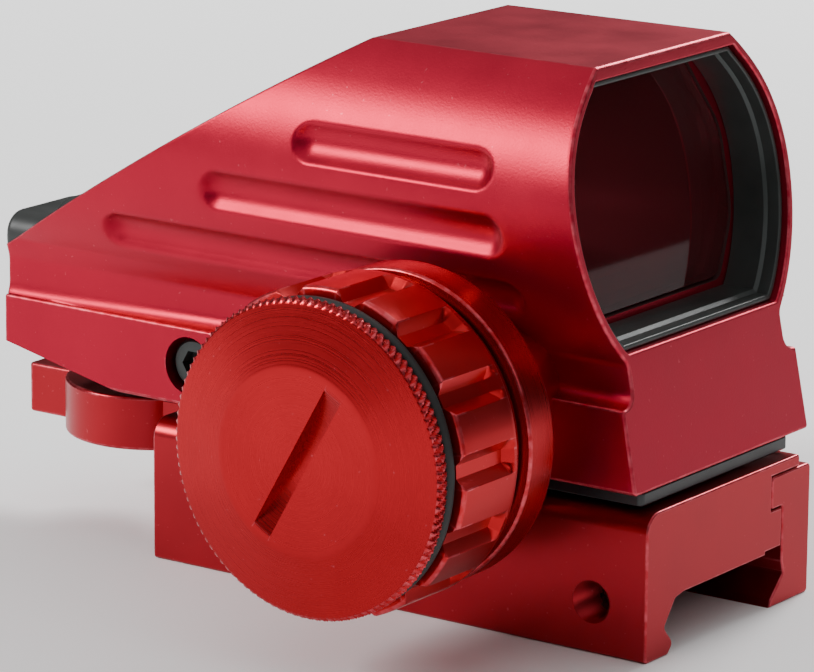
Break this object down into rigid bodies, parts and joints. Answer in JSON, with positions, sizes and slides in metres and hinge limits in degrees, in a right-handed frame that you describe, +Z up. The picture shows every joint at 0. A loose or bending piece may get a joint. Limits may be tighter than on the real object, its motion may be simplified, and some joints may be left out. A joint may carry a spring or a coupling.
{
  "type": "red dot finder",
  "caption": "Open reflex red dot finder with side brightness turret, tilting carrier and a clamp for a cross-slotted rail.",
  "frame": {"origin": "middle of the flat seat of the clamp, where it rests on top of the rail", "axes": "+X along the line of sight towards the objective, -Y to the side with the brightness turret, +Z up"},
  "size_m": [0.0852, 0.0599, 0.056],
  "materials": {
    "red_anodised": "satin bead-blasted crimson anodised",
    "bright_red_anodised": "brighter machined red anodised",
    "black_metal": "black anodised",
    "steel": "plain steel",
    "brass": "turned brass",
    "circuit_board": "green solder mask",
    "black_plastic": "moulded black",
    "rubber": "black seal rubber",
    "lens_glass": "red-coated glass",
    "led": "clear red epoxy"
  },
  "bodies": {
    "mount": {"mount_base": "bright_red_anodised", "pitch_pivot_pin": "steel", "elevation_lock_screw": "black_metal", "elevation_spring": "steel"},
    "clamp_bar": {"clamp_bar": "bright_red_anodised"},
    "clamp_screw_front": {"clamp_screw_front": "black_metal"},
    "clamp_screw_rear": {"clamp_screw_rear": "black_metal"},
    "elevation_screw": {"elevation_screw": "black_metal", "elevation_clip": "steel"},
    "carrier": {"carrier_plate": "black_metal", "elevation_nut": "brass", "windage_nut": "brass"},
    "housing": {"housing": "red_anodised", "yaw_pivot_screw": "steel", "objective_bezel": "black_metal", "objective_lens": "lens_glass", "lens_retainer": "black_metal", "turret_body": "bright_red_anodised", "turret_screw_1": "steel", "turret_screw_2": "steel", "turret_screw_3": "steel", "brightness_switch_board": "circuit_board", "battery_contact": "brass", "coin_cell": "steel", "knob_retaining_ring": "steel", "windage_spring_plug": "black_metal", "windage_spring": "steel", "emitter_housing": "black_plastic", "emitter_screw_1": "steel", "emitter_screw_2": "steel", "led_board": "circuit_board", "led_emitter": "led"},
    "windage_screw": {"windage_screw": "black_metal", "windage_clip": "steel"},
    "brightness_knob": {"brightness_knob": "bright_red_anodised", "switch_wiper": "brass"},
    "cap_seal": {"cap_seal": "rubber"},
    "battery_cap": {"battery_cap": "bright_red_anodised", "cap_contact": "brass"},
    "reticle_selector": {"reticle_selector": "black_plastic", "selector_shaft": "steel", "reticle_disc": "black_metal"}
  },
  "joints": [
    {"name": "clamp_slide", "type": "slide", "parent": "mount", "child": "clamp_bar", "axis": [0, 1, 0], "range_m": [0, 0.003]},
    {"name": "clamp_screw_front_turn", "type": "hinge", "parent": "clamp_bar", "child": "clamp_screw_front", "pos_m": [0.0234, 0, -0.0005], "axis": [0, 1, 0], "range_deg": [0, 1545]},
    {"name": "clamp_screw_rear_turn", "type": "hinge", "parent": "clamp_bar", "child": "clamp_screw_rear", "pos_m": [-0.0166, 0, -0.0005], "axis": [0, 1, 0], "range_deg": [0, 1545]},
    {"name": "elevation_pitch", "type": "hinge", "parent": "mount", "child": "carrier", "pos_m": [0.012, 0, 0.0062], "axis": [0, 1, 0], "range_deg": [-1, 1], "deforming": ["elevation_spring"]},
    {"name": "elevation_screw_turn", "type": "hinge", "parent": "mount", "child": "elevation_screw", "pos_m": [-0.0404, 0, 0.006], "axis": [0, 0, 1], "range_deg": [-660, 660]},
    {"name": "windage_yaw", "type": "hinge", "parent": "carrier", "child": "housing", "pos_m": [0.02, 0, 0.011], "axis": [0, 0, 1], "range_deg": [-1, 1], "deforming": ["windage_spring"]},
    {"name": "windage_screw_turn", "type": "hinge", "parent": "housing", "child": "windage_screw", "pos_m": [-0.0247, -0.013, 0.0153], "axis": [0, 1, 0], "range_deg": [-563, 563]},
    {"name": "brightness_turn", "type": "hinge", "parent": "housing", "child": "brightness_knob", "pos_m": [0.0082, -0.031, 0.0164], "axis": [0, -1, 0], "range_deg": [0, 300]},
    {"name": "cap_unscrew_slide", "type": "slide", "parent": "housing", "child": "cap_seal", "axis": [0, -1, 0], "range_m": [0, 0.003]},
    {"name": "cap_unscrew_turn", "type": "hinge", "parent": "cap_seal", "child": "battery_cap", "pos_m": [0.0082, -0.039, 0.0164], "axis": [0, -1, 0], "range_deg": [0, 1075]},
    {"name": "reticle_select", "type": "hinge", "parent": "housing", "child": "reticle_selector", "pos_m": [-0.05, 0, 0.0228], "axis": [1, 0, 0], "range_deg": [0, 90]}
  ],
  "couplings": [
    {"joint": "clamp_screw_front_turn", "follows": "clamp_slide", "rad_per_m": 8976},
    {"joint": "clamp_screw_rear_turn", "follows": "clamp_slide", "rad_per_m": 8976},
    {"joint": "elevation_screw_turn", "follows": "elevation_pitch", "ratio": -658.5},
    {"joint": "windage_screw_turn", "follows": "windage_yaw", "ratio": -561.7},
    {"joint": "cap_unscrew_slide", "follows": "cap_unscrew_turn", "m_per_rad": 0.00015915}
  ]
}
